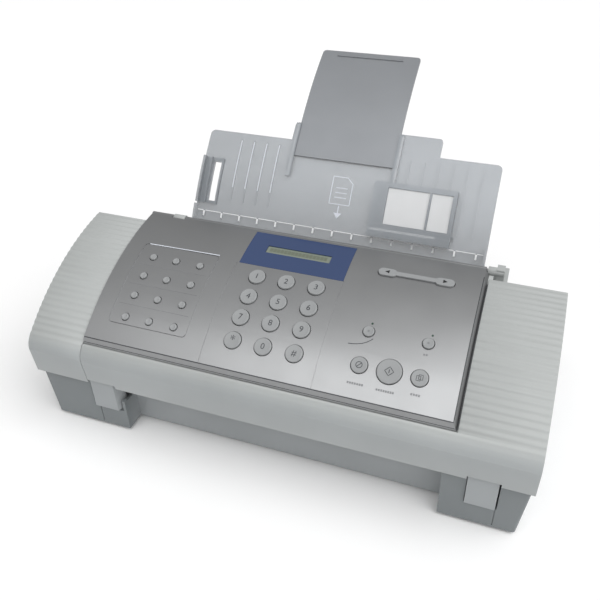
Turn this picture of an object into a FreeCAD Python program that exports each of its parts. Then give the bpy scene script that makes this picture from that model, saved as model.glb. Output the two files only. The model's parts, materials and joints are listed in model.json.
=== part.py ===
import FreeCAD, Part
import math
import os

# Desktop ink-jet fax machine, modelled as separate pieces, in millimetres.
# X runs to the right, Y towards the back and Z up. Pieces are modelled with Y
# measured from the front face and are shifted at export, so that the origin
# lies at the middle of the whole machine's footprint.

# --- Overall size ---------------------------------------------------------
WIDTH = 390.0
BACK_Y = 170.0
WALL = 2.4
RUNNING_GAP = 0.05

# --- Barrel curve of the covers and the operator panel ---------------------
BARREL_Y = 140.5
BARREL_Z = -69.7
BARREL_R = 205.0
NOSE_R = 14.75
NOSE_Z = 73.0
NOSE_TOP_Y = 5.0
LIP_Y = 2.2
LIP_Z = 50.0
WING_BACK_Y = 118.3
WING_BACK_DROP_Z = 124.0
RIB_PITCH = 5.2
RIB_RISE = 0.5

# --- Parting of the covers -------------------------------------------------
LEFT_END_X = -147.4
COVER_LEFT_X = -147.0
COVER_RIGHT_X = WIDTH / 2

# --- Operator panel --------------------------------------------------------
PANEL_RIGHT_X = 136.4
PANEL_RIM = 2.6
PANEL_FRONT_Y = 9.8
PANEL_TOP = 2.0
PANEL_UNDER = -1.6
PANEL_GROOVE = 0.45
BED_UNDER = -4.0
BED_HOLE_EXTRA = 1.8
BED_BACK_Y = 125.4
PANEL_WELL_RIGHT_X = 139.9
PANEL_WELL_FRONT_Y = 7.0
DISPLAY_X = (-48.0, 37.0)
DISPLAY_Y = (88.0, 125.5)
DISPLAY_DEPTH = 1.0
WINDOW_X = (-32.0, 21.0)
WINDOW_Y = (103.0, 111.0)
SECTION_SEAMS_X = (-49.5, 37.4)
SPEED_AREA_X = (-131.5, -65.5)
SPEED_AREA_Y = (22.5, 89.5)
SPEED_AREA_CORNER = 3.0
MAT_LOW = -6.0
MAT_HIGH = -4.5
MAT_X = (-135.0, 125.0)
MAT_Y = (21.0, 113.0)

# --- Keys ------------------------------------------------------------------
KEY_ROW_Y = (77.0, 59.6, 43.5, 27.6)
SPEED_KEY_X = (-118.3, -98.0, -77.0)
DIAL_KEY_X = (-28.5, -4.7, 19.2)
SPEED_KEY_R = 2.8
DIAL_KEY_R = 6.5
ROUND_KEYS = {
    "stop_key": (66.5, 29.3, 5.9),
    "start_key": (87.8, 29.3, 8.8),
    "copy_key": (108.7, 29.3, 5.9),
    "resolution_key": (66.8, 51.8, 4.1),
    "receive_mode_key": (109.2, 51.8, 4.1),
}
KEY_RISE = 1.5
KEY_RIM = 0.7
KEY_DISH = 0.25
KEY_GAP = 0.5
KEY_FLANGE = 1.0
KEY_FLANGE_TOP = -3.9
KEY_FOOT = -4.9
ROCKER_X = 88.3
ROCKER_Y = 103.5
ROCKER_PAD_X = 21.4
ROCKER_PAD = (14.4, 7.4)
ROCKER_BAR_WIDTH = 4.0
ROCKER_RISE = 1.5

# --- Cover hinge -----------------------------------------------------------
HINGE_Y = 128.8
HINGE_Z = 134.6
HINGE_BARREL_R = 2.6
HINGE_PIN_R = 1.4
LEFT_TOWER_X = (-126.0, -115.4)
RIGHT_TOWER_X = (137.5, 149.0)
TOWER_TIP_R = 3.4
EAR_X = (143.8, 149.6)
EAR_Y = (126.0, 134.0)
EAR_Z = (112.0, 138.0)

# --- Paper support: a curved plate about an axis behind the machine --------
SUPPORT_Y = 402.0
SUPPORT_Z = -24.2
SUPPORT_R = 304.9
SUPPORT_START_SLOPE = 58.5
SUPPORT_X = (-113.4, 133.9)
SUPPORT_THICKNESS = 2.2
SUPPORT_FOOT_T = -34.0
SUPPORT_TOP_T = 74.0
SUPPORT_MID_X = (-39.3, 85.1)
SUPPORT_MID_TOP_T = 89.8
EXTENSION_X = (-34.2, 51.3)
EXTENSION_TOP_T = 163.8
EXTENSION_FOOT_T = 60.0
EXTENSION_LOW = 0.4
EXTENSION_HIGH = 2.2
RAIL_WIDTH = 2.6
RAIL_HIGH = 3.4
RAIL_T = (42.0, 88.0)

SUPPORT_RIBS_X = (-82.6, -71.2, -59.8, -48.4, 62.8, 74.4, 86.0, 97.6, 109.2, 120.8)
STEP_T = (1.5, 3.6)
TOOTH_COUNT = 15
TOOTH_PITCH = 16.5
LEFT_GUIDE_X = (-112.4, -94.5)
LEFT_GUIDE_T = (9.5, 49.0)
LEFT_SLOT_X = (-103.5, -96.5)
LEFT_SLOT_T = (12.0, 46.0)
RIGHT_GUIDE_X = (40.0, 105.5)
RIGHT_GUIDE_T = (4.0, 47.0)
RIGHT_WINDOWS_X = ((51.5, 84.5), (86.0, 102.4))
RIGHT_WINDOW_T = (14.5, 43.0)
GUIDE_LOW = 6.4
GUIDE_HIGH = 8.2
GUIDE_SLOT_X = (40.0, 107.0)
GUIDE_SLOT_T = (9.2, 11.2)

# --- Base ------------------------------------------------------------------
BASE_X = 188.6
SIDE_FLARE = 4.8
SIDE_FLARE_TOP_Z = 49.4
BASE_FRONT_Y = 6.0
BASE_FLOOR_Z = 3.0
BASE_TOP_Z = 54.0
BASE_BACK_TOP_Z = 50.0
RECESS_X = (-119.8, 133.5)
RECESS_Y = 22.7
RECESS_TOP_Z = 31.0
BLOCK_TOP_Z = 22.0
NOTCH_BACK_Y = 17.0
SEAM_WIDTH = 0.6
BAND_NOTCHES_X = (-66.0, 94.0)
LEFT_TAB_X = (-147.0, -126.0)
RIGHT_TAB_X = (151.0, 172.0)
TAB_BOTTOM_Z = 23.2
TAB_TOP_Z = 51.5
TAB_GAP_LEFT = 2.0
TAB_GAP_RIGHT = 1.2
LIP_NOTCH_TOP_Z = 53.0
TAB_FRONT_Y = 4.2
TAB_BACK_Y = 14.0
TAB_FLARE = 3.2
TAB_POST = ((-122.2, -119.8), 33.0)
LATCH_PIVOT_Y = 9.5
LATCH_PIVOT_Z = 58.0
LATCH_PIVOT_R = 1.5
FOOT_R = 7.0

BOARD_Z = 9.0
JACKS_X = (-94.0, -70.0)
JACK_WIDTH = 14.0
INLET_X = 122.0
INLET_WIDTH = 24.0
INLET_Z = (14.0, 34.0)

# --- Rear housing ------------------------------------------------------------
HOUSING_FRONT_Y = 119.2
HOUSING_TOP_Z = 127.5
HOUSING_SLOPE = 36.0
HOPPER_TOP_Z = 121.0
HOPPER_BACK_Y = 143.4
VENT_COUNT = 12
VENT_START_X = 78.0
VENT_PITCH = 7.0
VENT_WIDTH = 3.0
VENT_Z = (56.0, 72.0)

# --- Paper path and drive ---------------------------------------------------
FEED_Y = 80.0
IDLER_Y = 59.0
EXIT_Y = 40.0
ROLLER_Z = 28.5
FEED_R = 7.0
EXIT_R = 6.0
SHAFT_R = 3.0
PAPER_X = (-110.0, 105.0)
PATH_Z = 36.0
FEED_TEETH = 22
IDLER_TEETH = 20
EXIT_TEETH = 18
GEAR_MODULE = 1.0
GEAR_BACKLASH = 0.25
GEAR_X = (-154.0, -148.6)
PICKUP_Y = 121.7
PICKUP_Z = 118.5
PICKUP_R = 9.0
DOCUMENT_Y = 30.0
DOCUMENT_Z = 66.0
CHUTE_SLOPE = 65.0
CHUTE_BEND_R = 16.0
CHUTE_TOP_Z = 98.0
PLATEN_RIBS = 15
PLATE_LEFT_X = (-146.0, -144.5)
PLATE_RIGHT_X = (176.0, 177.5)
RAIL_Y = 90.0
RAIL_Z = 68.0
RAIL_R = 4.0
CARRIAGE_X = 150.0
CARRIAGE_HALF = 22.0
BELT_Z = 85.0
BELT_Y = (92.0, 97.0)
BELT_X = (-130.0, 165.0)
BELT_R = 6.9
BELT_THICKNESS = 1.0

X_AXIS = FreeCAD.Vector(1, 0, 0)


# --- Small helpers ----------------------------------------------------------
def box(x, y, z):
    """Block from three (low, high) pairs."""
    corner = FreeCAD.Vector(x[0], y[0], z[0])
    return Part.makeBox(x[1] - x[0], y[1] - y[0], z[1] - z[0], corner)


def rod(x, y, z, radius):
    """Cylinder along X between two x values."""
    return Part.makeCylinder(radius, x[1] - x[0], FreeCAD.Vector(x[0], y, z), X_AXIS)


def tube(x, y, z, outer, inner):
    """Tube along X between two x values."""
    return rod(x, y, z, outer).cut(rod((x[0] - 1, x[1] + 1), y, z, inner))


def pillar(x, y, z, radius):
    """Cylinder along Z between two z values."""
    return Part.makeCylinder(radius, z[1] - z[0], FreeCAD.Vector(x, y, z[0]))


def side_prism(points, x):
    """Polygon in the YZ plane extruded between two x values."""
    corners = [FreeCAD.Vector(x[0], y, z) for y, z in points]
    face = Part.Face(Part.makePolygon(corners + corners[:1]))
    return face.extrude(FreeCAD.Vector(x[1] - x[0], 0, 0))


def plan_prism(points, z):
    """Polygon in the XY plane extruded between two z values."""
    corners = [FreeCAD.Vector(x, y, z[0]) for x, y in points]
    face = Part.Face(Part.makePolygon(corners + corners[:1]))
    return face.extrude(FreeCAD.Vector(0, 0, z[1] - z[0]))


def join(first, *others):
    """Fuse shapes and merge their coplanar faces."""
    return first.fuse(list(others)).removeSplitter()


def group(*solids):
    """Separate solids kept in one node."""
    return Part.makeCompound(list(solids))


def wheel_point(centre_y, centre_z, radius, angle):
    """Point on a circle in the YZ plane; the angle runs from +Z towards -Y."""
    return centre_y - radius * math.sin(angle), centre_z + radius * math.cos(angle)


def arc_slab(centre, radii, angles, x):
    """Curved slab about an axis along X, between two radii and two angles."""
    def at(radius, angle):
        y, z = wheel_point(centre[0], centre[1], radius, angle)
        return FreeCAD.Vector(x[0], y, z)

    low, high = radii
    start, end = angles
    middle = (start + end) / 2
    outline = Part.Wire([
        Part.Arc(at(high, start), at(high, middle), at(high, end)).toShape(),
        Part.LineSegment(at(high, end), at(low, end)).toShape(),
        Part.Arc(at(low, end), at(low, middle), at(low, start)).toShape(),
        Part.LineSegment(at(low, start), at(high, start)).toShape(),
    ])
    return Part.Face(outline).extrude(FreeCAD.Vector(x[1] - x[0], 0, 0))


# --- Barrel surface ---------------------------------------------------------
def barrel_angle(y, height=0.0):
    """Angle of the barrel radius that meets a given y at a height above the curve."""
    return math.asin((BARREL_Y - y) / (BARREL_R + height))


def barrel_z(y, height=0.0):
    """Height of the barrel surface above the ground at a given y."""
    return BARREL_Z + math.sqrt((BARREL_R + height) ** 2 - (BARREL_Y - y) ** 2)


def barrel_slab(x, y, heights):
    """Part of the barrel between two heights above its curve."""
    radii = (BARREL_R + heights[0], BARREL_R + heights[1])
    angles = (barrel_angle(y[0]), barrel_angle(y[1]))
    return arc_slab((BARREL_Y, BARREL_Z), radii, angles, x)


def on_panel(shape, x, y):
    """Move a shape from the origin to the panel surface, with +Z along the normal."""
    angle = barrel_angle(y, PANEL_TOP)
    y_at, z_at = wheel_point(BARREL_Y, BARREL_Z, BARREL_R + PANEL_TOP, angle)
    turn = FreeCAD.Rotation(X_AXIS, math.degrees(angle))
    placed = shape.copy()
    placed.Placement = FreeCAD.Placement(FreeCAD.Vector(x, y_at, z_at), turn)
    return placed


# --- Cover sections ---------------------------------------------------------
def cover_section(inset, bottom_z, back_y, ribs):
    """Side outline of the cover, inset by a wall thickness, as a face at x = 0."""
    def point(y, z):
        return FreeCAD.Vector(0, y, z)

    radius = BARREL_R - inset
    nose_radius = NOSE_R - inset
    top_angle = barrel_angle(NOSE_TOP_Y)
    lean = LIP_Y / (NOSE_Z - LIP_Z)
    foot = point(lean * (NOSE_Z - bottom_z) + inset, bottom_z)
    nose_foot = point(inset, NOSE_Z)
    nose_middle = point(*wheel_point(NOSE_R, NOSE_Z, nose_radius, (math.pi / 2 + top_angle) / 2))
    nose_top = point(*wheel_point(BARREL_Y, BARREL_Z, radius, top_angle))
    back_angle = math.asin((BARREL_Y - back_y) / radius)
    back_top = point(*wheel_point(BARREL_Y, BARREL_Z, radius, back_angle))
    back_foot = point(back_y, bottom_z)
    edges = [
        Part.LineSegment(foot, nose_foot).toShape(),
        Part.Arc(nose_foot, nose_middle, nose_top).toShape(),
    ]
    count = 2 * round((top_angle - back_angle) * radius / RIB_PITCH) if ribs else 1
    rise = RIB_RISE / 2 if ribs else 0.0
    step = (top_angle - back_angle) / count
    start = nose_top
    for number in range(count):
        middle_angle = top_angle - (number + 0.5) * step
        middle_r = radius + rise * (-1) ** number
        middle = point(*wheel_point(BARREL_Y, BARREL_Z, middle_r, middle_angle))
        end = point(*wheel_point(BARREL_Y, BARREL_Z, radius, middle_angle - 0.5 * step))
        edges.append(Part.Arc(start, middle, end).toShape())
        start = end
    edges.append(Part.LineSegment(start, back_foot).toShape())
    edges.append(Part.LineSegment(back_foot, foot).toShape())
    return Part.Face(Part.Wire(edges))


def cover_block(x, inset, bottom_z, back_y, ribs):
    """Solid of the cover's outline between two x values."""
    face = cover_section(inset, bottom_z, back_y, ribs)
    face.translate(FreeCAD.Vector(x[0], 0, 0))
    return face.extrude(FreeCAD.Vector(x[1] - x[0], 0, 0))


def wing_shell(outer_x, inner_x):
    """Ribbed shell, open below, closed where the inner x range stops short."""
    outer = cover_block(outer_x, 0.0, LIP_Z, WING_BACK_Y, True)
    inner = cover_block(inner_x, WALL, LIP_Z - 5, WING_BACK_Y - WALL, False)
    below_back_edge = box(inner_x, (WING_BACK_Y - 12, 130), (LIP_Z - 1, WING_BACK_DROP_Z))
    return outer.cut(inner).cut(below_back_edge)


def left_end_cover():
    """Fixed cover of the left end, with ribs that stand on the base wall."""
    outer_x = (-WIDTH / 2, LEFT_END_X)
    shell = wing_shell(outer_x, (-WIDTH / 2 + WALL, LEFT_END_X + 1))
    rib_x = (-WIDTH / 2 + WALL - 0.5, -BASE_X + WALL + 2)
    ribs = [box(rib_x, (y, y + 2), (BASE_TOP_Z, BASE_TOP_Z + 8)) for y in (30, 60, 90)]
    return join(shell, *ribs)


def lip_notches():
    """Shallow cut-outs in the lip of the cover over the two latch tabs."""
    spans = (
        (COVER_LEFT_X - 1, LEFT_TAB_X[1] + 4),
        (RIGHT_TAB_X[0] - 0.8, RIGHT_TAB_X[1] + TAB_GAP_RIGHT),
    )
    return [box(span, (-1, 6), (LIP_Z - 1, LIP_NOTCH_TOP_Z)) for span in spans]


def latch_lugs(tab_x):
    """Two lugs behind the front wall that carry one latch pivot."""
    lugs = []
    for x in ((tab_x[0] + 1.0, tab_x[0] + 4.6), (tab_x[1] - 4.6, tab_x[1] - 1.0)):
        plate = box(x, (2.6, LATCH_PIVOT_Y + 3.4), (LATCH_PIVOT_Z - 4, LATCH_PIVOT_Z + 5))
        hole = rod((x[0] - 1, x[1] + 1), LATCH_PIVOT_Y, LATCH_PIVOT_Z, LATCH_PIVOT_R + RUNNING_GAP)
        lugs.append(plate.cut(hole))
    return lugs


def key_sites():
    """Every round key as name, x, y and radius."""
    sites = []
    for row, y in enumerate(KEY_ROW_Y):
        for column, x in enumerate(SPEED_KEY_X):
            sites.append((f"one_touch_{row * 3 + column + 1:02d}", x, y, SPEED_KEY_R))
    dial_names = "1 2 3 4 5 6 7 8 9 star 0 hash".split()
    for number, name in enumerate(dial_names):
        x = DIAL_KEY_X[number % 3]
        y = KEY_ROW_Y[number // 3]
        sites.append((f"dial_key_{name}", x, y, DIAL_KEY_R))
    for name, (x, y, radius) in ROUND_KEYS.items():
        sites.append((name, x, y, radius))
    return sites


def rocker_outline(gap, low, high):
    """Two rounded pads joined by a bar, grown by a gap, between two heights."""
    length, width = ROCKER_PAD
    half_width = width / 2 + gap
    pieces = []
    for side in (-1, 1):
        for end in (-1, 1):
            x = side * ROCKER_PAD_X + end * (length - width) / 2
            pieces.append(pillar(x, 0, (low, high), half_width))
        reach = (length - width) / 2
        span = (side * ROCKER_PAD_X - reach, side * ROCKER_PAD_X + reach)
        pieces.append(box(span, (-half_width, half_width), (low, high)))
    bar_half = ROCKER_BAR_WIDTH / 2 + gap
    bar = box((-ROCKER_PAD_X, ROCKER_PAD_X), (-bar_half, bar_half), (low, high))
    return join(bar, *pieces)


def key_holes(extra, low, high):
    """Holes for all keys, as one list of cutters along the panel normals."""
    cutters = []
    for _, x, y, radius in key_sites():
        cutters.append(on_panel(pillar(0, 0, (low, high), radius + extra), x, y))
    cutters.append(on_panel(rocker_outline(extra, low, high), ROCKER_X, ROCKER_Y))
    return cutters


def tower_clearances():
    """Round cut-outs that let the cover turn past the tips of the two hinge towers."""
    radius = TOWER_TIP_R + 0.6
    spans = (
        (LEFT_TOWER_X[0] - 0.6, LEFT_TOWER_X[1] + 0.6),
        (RIGHT_TOWER_X[0] - 0.6, RIGHT_TOWER_X[0] + 6),
    )
    return [rod(span, HINGE_Y, HINGE_Z, radius) for span in spans]


def top_cover():
    """Hinged cover: front strip, right wing and the bed that carries the panel."""
    strip_x = (COVER_LEFT_X, PANEL_WELL_RIGHT_X + 1)
    strip = cover_block(strip_x, 0.0, LIP_Z, WING_BACK_Y, True)
    hollow_x = (COVER_LEFT_X - 1, PANEL_WELL_RIGHT_X + 2)
    strip = strip.cut(cover_block(hollow_x, WALL, LIP_Z - 5, WING_BACK_Y - WALL, False))
    behind = box(hollow_x, (PANEL_WELL_FRONT_Y, 130), (LIP_Z - 1, 150))
    strip = strip.cut(behind)
    wing_x = (PANEL_WELL_RIGHT_X, COVER_RIGHT_X)
    wing = wing_shell(wing_x, (PANEL_WELL_RIGHT_X + WALL, COVER_RIGHT_X - WALL))
    open_side = box((wing_x[0] - 1, wing_x[0] + WALL + 1), (WALL * 2, 130), (LIP_Z - 1, 200))
    bed_top_block = barrel_slab((wing_x[0] - 2, wing_x[0] + WALL + 1), (1, 131), (BED_UNDER, 40))
    wing = wing.cut(open_side.cut(bed_top_block))
    bed_x = (COVER_LEFT_X, PANEL_WELL_RIGHT_X + WALL)
    bed = barrel_slab(bed_x, (6.4, BED_BACK_Y), (BED_UNDER, PANEL_UNDER))
    cover = join(strip, wing, bed)
    cutters = key_holes(BED_HOLE_EXTRA, -8.0, 0.0)
    window_x = (WINDOW_X[0] - 1, WINDOW_X[1] + 1)
    window_y = (WINDOW_Y[0] - 1, WINDOW_Y[1] + 1)
    cutters.append(barrel_slab(window_x, window_y, (-6, 0)))
    cutters.extend(tower_clearances())
    cutters.extend(lip_notches())
    cover = cover.cut(cutters)
    return join(cover, *latch_lugs(LEFT_TAB_X), *latch_lugs(RIGHT_TAB_X))


# --- Operator panel ----------------------------------------------------------
def panel_plate():
    """Curved plate with a sloping rim at the right and at the front."""
    inner_r = BARREL_R + PANEL_UNDER
    outer_r = BARREL_R + PANEL_TOP
    rim_r = BARREL_R - 1.2
    left = COVER_LEFT_X
    right = PANEL_RIGHT_X
    profile = [
        (left, inner_r), (right + PANEL_RIM, inner_r), (right + PANEL_RIM, rim_r),
        (right, outer_r), (left + 0.6, outer_r), (left, outer_r - 0.6),
    ]
    front = barrel_angle(PANEL_WELL_FRONT_Y + 0.6)
    back = barrel_angle(HINGE_Y)
    corners = [FreeCAD.Vector(x, BARREL_Y, BARREL_Z + radius) for x, radius in profile]
    face = Part.Face(Part.makePolygon(corners + corners[:1]))
    axis_point = FreeCAD.Vector(0, BARREL_Y, BARREL_Z)
    plate = face.revolve(axis_point, X_AXIS, math.degrees(front - back))
    plate.rotate(axis_point, X_AXIS, math.degrees(back))
    rim_top = (PANEL_FRONT_Y, barrel_z(PANEL_FRONT_Y, PANEL_TOP))
    rim_foot = (PANEL_WELL_FRONT_Y + 0.6, barrel_z(PANEL_WELL_FRONT_Y + 0.6, -1.2))
    slope = ((rim_top[0] - rim_foot[0]), (rim_top[1] - rim_foot[1]))
    wedge = side_prism([
        rim_top, rim_foot,
        (rim_foot[0] - slope[0], rim_foot[1] - slope[1]),
        (rim_foot[0] - 8, rim_foot[1] + 16), (rim_top[0] + slope[0], rim_top[1] + slope[1]),
    ], (left - 1, right + PANEL_RIM + 1))
    return plate.cut(wedge)


def panel_grooves():
    """Engraved lines: two section seams and the frame round the speed-dial keys."""
    half = 0.3
    depths = (PANEL_TOP - PANEL_GROOVE, PANEL_TOP + 1)
    cutters = []
    for x in SECTION_SEAMS_X:
        cutters.append(barrel_slab((x - half, x + half), (PANEL_FRONT_Y - 4, DISPLAY_Y[0]), depths))
    layer = barrel_slab((SPEED_AREA_X[0] - 2, SPEED_AREA_X[1] + 2), (12, 100), depths)
    frame = rounded_column(SPEED_AREA_X, SPEED_AREA_Y, SPEED_AREA_CORNER, half)
    core = rounded_column(SPEED_AREA_X, SPEED_AREA_Y, SPEED_AREA_CORNER, -half)
    cutters.append(layer.common(frame.cut(core)))
    return cutters


def rounded_column(x, y, corner, grow):
    """Tall column with a rounded rectangular plan, grown on all sides."""
    z = (60, 160)
    low_x, high_x = x[0] - grow, x[1] + grow
    low_y, high_y = y[0] - grow, y[1] + grow
    radius = corner + grow
    column = box((low_x, high_x), (low_y, high_y), z)
    upright = [edge for edge in column.Edges if abs(edge.tangentAt(0).z) > 0.9]
    return column.makeFillet(radius, upright)


def operator_panel():
    """Silver panel with its key holes, display recess, grooves and hinge barrel."""
    plate = panel_plate()
    hinge_barrel = rod((COVER_LEFT_X, PANEL_RIGHT_X), HINGE_Y, HINGE_Z, HINGE_BARREL_R)
    plate = join(plate, hinge_barrel)
    cutters = key_holes(KEY_GAP, -8.0, 4.0)
    recess_heights = (PANEL_TOP - DISPLAY_DEPTH - 0.05, PANEL_TOP + 1)
    cutters.append(barrel_slab(DISPLAY_X, DISPLAY_Y, recess_heights))
    cutters.append(barrel_slab(WINDOW_X, WINDOW_Y, (-8, 4)))
    cutters.extend(panel_grooves())
    cutters.extend(tower_clearances())
    plate = plate.cut(cutters)
    left_pin = rod((LEFT_TOWER_X[0] - 2, LEFT_TOWER_X[1] + 2), HINGE_Y, HINGE_Z, HINGE_PIN_R)
    right_pin = rod((PANEL_RIGHT_X - 1, RIGHT_TOWER_X[1] - 2), HINGE_Y, HINGE_Z, HINGE_PIN_R)
    return join(plate, left_pin, right_pin)


def display_lens():
    """Thin lens that fills the display recess, with the window left open."""
    gap = 0.1
    x = (DISPLAY_X[0] + gap, DISPLAY_X[1] - gap)
    y = (DISPLAY_Y[0] + gap, DISPLAY_Y[1] - gap)
    lens = barrel_slab(x, y, (PANEL_TOP - DISPLAY_DEPTH, PANEL_TOP + 0.05))
    return lens.cut(barrel_slab(WINDOW_X, WINDOW_Y, (-8, 6)))


def keypad_board():
    """Curved key mat and board, with the display module standing on it."""
    board = barrel_slab(MAT_X, MAT_Y, (MAT_LOW, MAT_HIGH))
    gap = 0.4
    module_x = (WINDOW_X[0] + gap, WINDOW_X[1] - gap)
    module_y = (WINDOW_Y[0] + gap, WINDOW_Y[1] - gap)
    module = barrel_slab(module_x, module_y, (MAT_HIGH - 0.5, PANEL_TOP - DISPLAY_DEPTH - 0.2))
    return join(board, module)


def round_key(radius):
    """Key cap with a dished top, a rounded rim and a retaining flange."""
    cap = pillar(0, 0, (KEY_FOOT, KEY_RISE), radius)
    top_rim = [edge for edge in cap.Edges if edge.BoundBox.ZMin > KEY_RISE - 0.01]
    cap = cap.makeFillet(KEY_RIM, top_rim)
    flange = pillar(0, 0, (KEY_FOOT, KEY_FLANGE_TOP), radius + KEY_FLANGE)
    dish_edge = radius - KEY_RIM - 0.1
    dish_r = (dish_edge ** 2 + KEY_DISH ** 2) / (2 * KEY_DISH)
    centre = FreeCAD.Vector(0, 0, KEY_RISE - KEY_DISH + dish_r)
    return cap.fuse(flange).cut(Part.makeSphere(dish_r, centre, X_AXIS))


def scroll_rocker():
    """Two arrow pads joined by a raised bar."""
    cap = rocker_outline(0.0, KEY_FOOT, ROCKER_RISE)
    rim = [edge for edge in cap.Edges if edge.BoundBox.ZMin > ROCKER_RISE - 0.01]
    return cap.makeFillet(0.5, rim)


# --- Latches -----------------------------------------------------------------
def latch(tab_x):
    """Release lever: outside tab, arm behind the lip and pivot pin."""
    left, right = tab_x
    tab = plan_prism([
        (left, TAB_FRONT_Y), (right, TAB_FRONT_Y), (right, TAB_BACK_Y), (left, TAB_BACK_Y),
    ], (TAB_BOTTOM_Z, TAB_TOP_Z))
    arm = box((left + 5.2, right - 5.2), (7.2, 11.8), (TAB_TOP_Z - 1, LATCH_PIVOT_Z))
    boss = rod((left + 5.2, right - 5.2), LATCH_PIVOT_Y, LATCH_PIVOT_Z, 2.3)
    pin = rod((left + 1.4, right - 1.4), LATCH_PIVOT_Y, LATCH_PIVOT_Z, LATCH_PIVOT_R)
    return join(tab, arm, boss, pin)


def left_latch():
    """Left release lever, wider at the back than at the front."""
    lever = latch(LEFT_TAB_X)
    inner = LEFT_TAB_X[1]
    flare = plan_prism([
        (inner - 1, TAB_FRONT_Y), (inner, TAB_FRONT_Y),
        (inner + TAB_FLARE, TAB_BACK_Y - 3), (inner + TAB_FLARE, TAB_BACK_Y), (inner - 1, TAB_BACK_Y),
    ], (TAB_BOTTOM_Z, TAB_TOP_Z))
    return join(lever, flare)


def right_latch():
    """Right release lever."""
    return latch(RIGHT_TAB_X)


# --- Base ---------------------------------------------------------------------
def base_outline(notched):
    """Plan of the base: a box with a recessed front and, higher up, the latch notches."""
    left, right = RECESS_X
    points = [(-BASE_X, BACK_Y), (-BASE_X, BASE_FRONT_Y)]
    if notched:
        notch = LEFT_TAB_X[0] - TAB_GAP_LEFT
        points += [(notch, BASE_FRONT_Y), (notch, NOTCH_BACK_Y), (left, NOTCH_BACK_Y)]
    else:
        points += [(left, BASE_FRONT_Y)]
    points += [(left, RECESS_Y), (right, RECESS_Y), (right, BASE_FRONT_Y)]
    if notched:
        low, high = RIGHT_TAB_X[0] - 0.5, RIGHT_TAB_X[1] + TAB_GAP_RIGHT
        points += [(low, BASE_FRONT_Y), (low, NOTCH_BACK_Y), (high, NOTCH_BACK_Y), (high, BASE_FRONT_Y)]
    points += [(BASE_X, BASE_FRONT_Y), (BASE_X, BACK_Y)]
    return points


def wall_ring(points, z):
    """Wall that follows a plan outline on its inner side, between two heights."""
    corners = [FreeCAD.Vector(x, y, z[0]) for x, y in points]
    face = Part.Face(Part.makePolygon(corners + corners[:1]))
    up = FreeCAD.Vector(0, 0, z[1] - z[0])
    return face.extrude(up).cut(face.makeOffset2D(-WALL, 2).extrude(up))


def side_flares():
    """Wedges that make the two sides of the base lean outwards up to the covers."""
    flares = []
    for side in (-1, 1):
        inner = side * BASE_X
        corners = [
            FreeCAD.Vector(inner - side, BASE_FRONT_Y, BASE_FLOOR_Z),
            FreeCAD.Vector(inner, BASE_FRONT_Y, BASE_FLOOR_Z),
            FreeCAD.Vector(inner + side * SIDE_FLARE, BASE_FRONT_Y, SIDE_FLARE_TOP_Z),
            FreeCAD.Vector(inner - side, BASE_FRONT_Y, SIDE_FLARE_TOP_Z),
        ]
        face = Part.Face(Part.makePolygon(corners + corners[:1]))
        flares.append(face.extrude(FreeCAD.Vector(0, BACK_Y - BASE_FRONT_Y, 0)))
    return flares


def base_chassis():
    """Bottom tub with a recessed front between two foot blocks."""
    lower = wall_ring(base_outline(False), (BASE_FLOOR_Z, BLOCK_TOP_Z))
    floor = plan_prism(base_outline(False), (BASE_FLOOR_Z, BASE_FLOOR_Z + WALL))
    upper = wall_ring(base_outline(True), (BLOCK_TOP_Z, BASE_TOP_Z))
    shelf_y = (BASE_FRONT_Y, NOTCH_BACK_Y + WALL)
    shelf_z = (BLOCK_TOP_Z - WALL, BLOCK_TOP_Z)
    left_shelf = box((LEFT_TAB_X[0] - TAB_GAP_LEFT - WALL, RECESS_X[0]), shelf_y, shelf_z)
    right_span = (RIGHT_TAB_X[0] - 0.5 - WALL, RIGHT_TAB_X[1] + TAB_GAP_RIGHT + WALL)
    right_shelf = box(right_span, shelf_y, shelf_z)
    post_x, post_top = TAB_POST
    post = box(post_x, (BASE_FRONT_Y, RECESS_Y + WALL), (BLOCK_TOP_Z - WALL, post_top))
    tub = join(lower, floor, upper, left_shelf, right_shelf, post, *side_flares())
    way_x = (LEFT_TAB_X[0] + 2, RECESS_X[1])
    exit_way = box(way_x, (10, RECESS_Y + WALL + 1), (RECESS_TOP_Z, 60))
    low_back = box((-BASE_X - 1, BASE_X + 1), (112, BACK_Y + 1), (BASE_BACK_TOP_Z, 60))
    tub = tub.cut([exit_way, low_back])
    seams = []
    seam_y = (BASE_FRONT_Y - 1, BASE_FRONT_Y + 0.8)
    for seam_x in (LEFT_TAB_X[0] + 2.5, RIGHT_TAB_X[1]):
        seams.append(box((seam_x, seam_x + SEAM_WIDTH), seam_y, (5, BLOCK_TOP_Z + 1)))
    for notch_x in BAND_NOTCHES_X:
        seams.append(box((notch_x, notch_x + 1.2), (RECESS_Y - 1, RECESS_Y + 1), (26, RECESS_TOP_Z + 1)))
    tub = tub.cut(seams).cut(socket_blocks(0.2))
    corners = [edge for edge in tub.Edges if is_outer_upright(edge)]
    return tub.makeFillet(2.2, corners)


def is_outer_upright(edge):
    """Whether an edge is one of the four long leaning outer corners of the base."""
    point = edge.CenterOfMass
    upright = abs(edge.tangentAt(edge.FirstParameter).z) > 0.9
    return upright and edge.Length > 15 and abs(point.x) > BASE_X + 0.5


def rubber_feet():
    """Four round rubber feet under the base."""
    feet = []
    for x in (-172.0, 172.0):
        for y in (20.0, 152.0):
            feet.append(pillar(x, y, (0.0, BASE_FLOOR_Z), FOOT_R))
    return group(*feet)


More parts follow.
